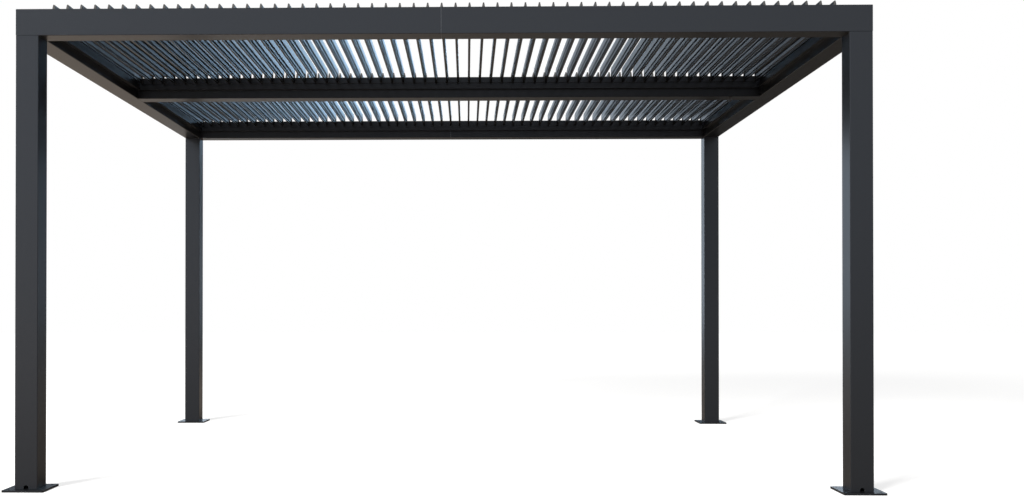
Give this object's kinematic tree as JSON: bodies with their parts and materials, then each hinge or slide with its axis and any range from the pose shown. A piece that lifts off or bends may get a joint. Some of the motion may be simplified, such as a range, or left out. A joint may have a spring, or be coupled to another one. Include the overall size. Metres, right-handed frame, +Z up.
{
  "type": "louvered pergola",
  "caption": "Free-standing pergola frame with posts on base plates, hollow beams, a middle beam and two fields of open roof louvres.",
  "frame": {"origin": "on the ground under the centre of the footprint", "axes": "+X to the right seen from the front, -Y towards the front, +Z up"},
  "size_m": [4.089, 3.199, 2.316],
  "materials": {
    "frame_coating": "powder coated, fine texture, anthracite",
    "louvre_coating": "powder coated, satin, anthracite",
    "gutter_coating": "powder coated, satin, anthracite",
    "plate_coating": "powder coated, anthracite",
    "mill_aluminium": "anodised, grey",
    "dark_steel": "blackened",
    "black_plastic": "moulded, matt"
  },
  "bodies": {
    "frame": {"back_beam_left": "frame_coating", "back_beam_right": "frame_coating", "base_plate_back_left": "plate_coating", "base_plate_back_right": "plate_coating", "base_plate_front_left": "plate_coating", "base_plate_front_right": "plate_coating", "beam_splices": "mill_aluminium", "crank_gearbox": "black_plastic", "drive_bar_back_field": "gutter_coating", "drive_bar_front_field": "gutter_coating", "front_beam_left": "frame_coating", "front_beam_right": "frame_coating", "gutter_back_field_back": "gutter_coating", "gutter_back_field_front": "gutter_coating", "gutter_back_field_left": "gutter_coating", "gutter_back_field_right": "gutter_coating", "gutter_front_field_back": "gutter_coating", "gutter_front_field_front": "gutter_coating", "gutter_front_field_left": "gutter_coating", "gutter_front_field_right": "gutter_coating", "louvre_rail_back_field_back": "gutter_coating", "louvre_rail_back_field_front": "gutter_coating", "louvre_rail_front_field_back": "gutter_coating", "louvre_rail_front_field_front": "gutter_coating", "louvres_back_centre": "louvre_coating", "louvres_back_left": "louvre_coating", "louvres_back_right": "louvre_coating", "louvres_front_centre": "louvre_coating", "louvres_front_left": "louvre_coating", "louvres_front_right": "louvre_coating", "middle_beam": "frame_coating", "post_back_left": "frame_coating", "post_back_right": "frame_coating", "post_front_left": "frame_coating", "post_front_right": "frame_coating", "post_sockets": "mill_aluminium", "side_beam_left": "frame_coating", "side_beam_right": "frame_coating"},
    "crank": {"crank_eye": "dark_steel"}
  },
  "joints": [
    {"name": "crank_turn", "type": "hinge", "parent": "frame", "child": "crank", "pos_m": [1.718, -0.0395, 2.139], "axis": [0, 0, 1], "continuous": true}
  ]
}
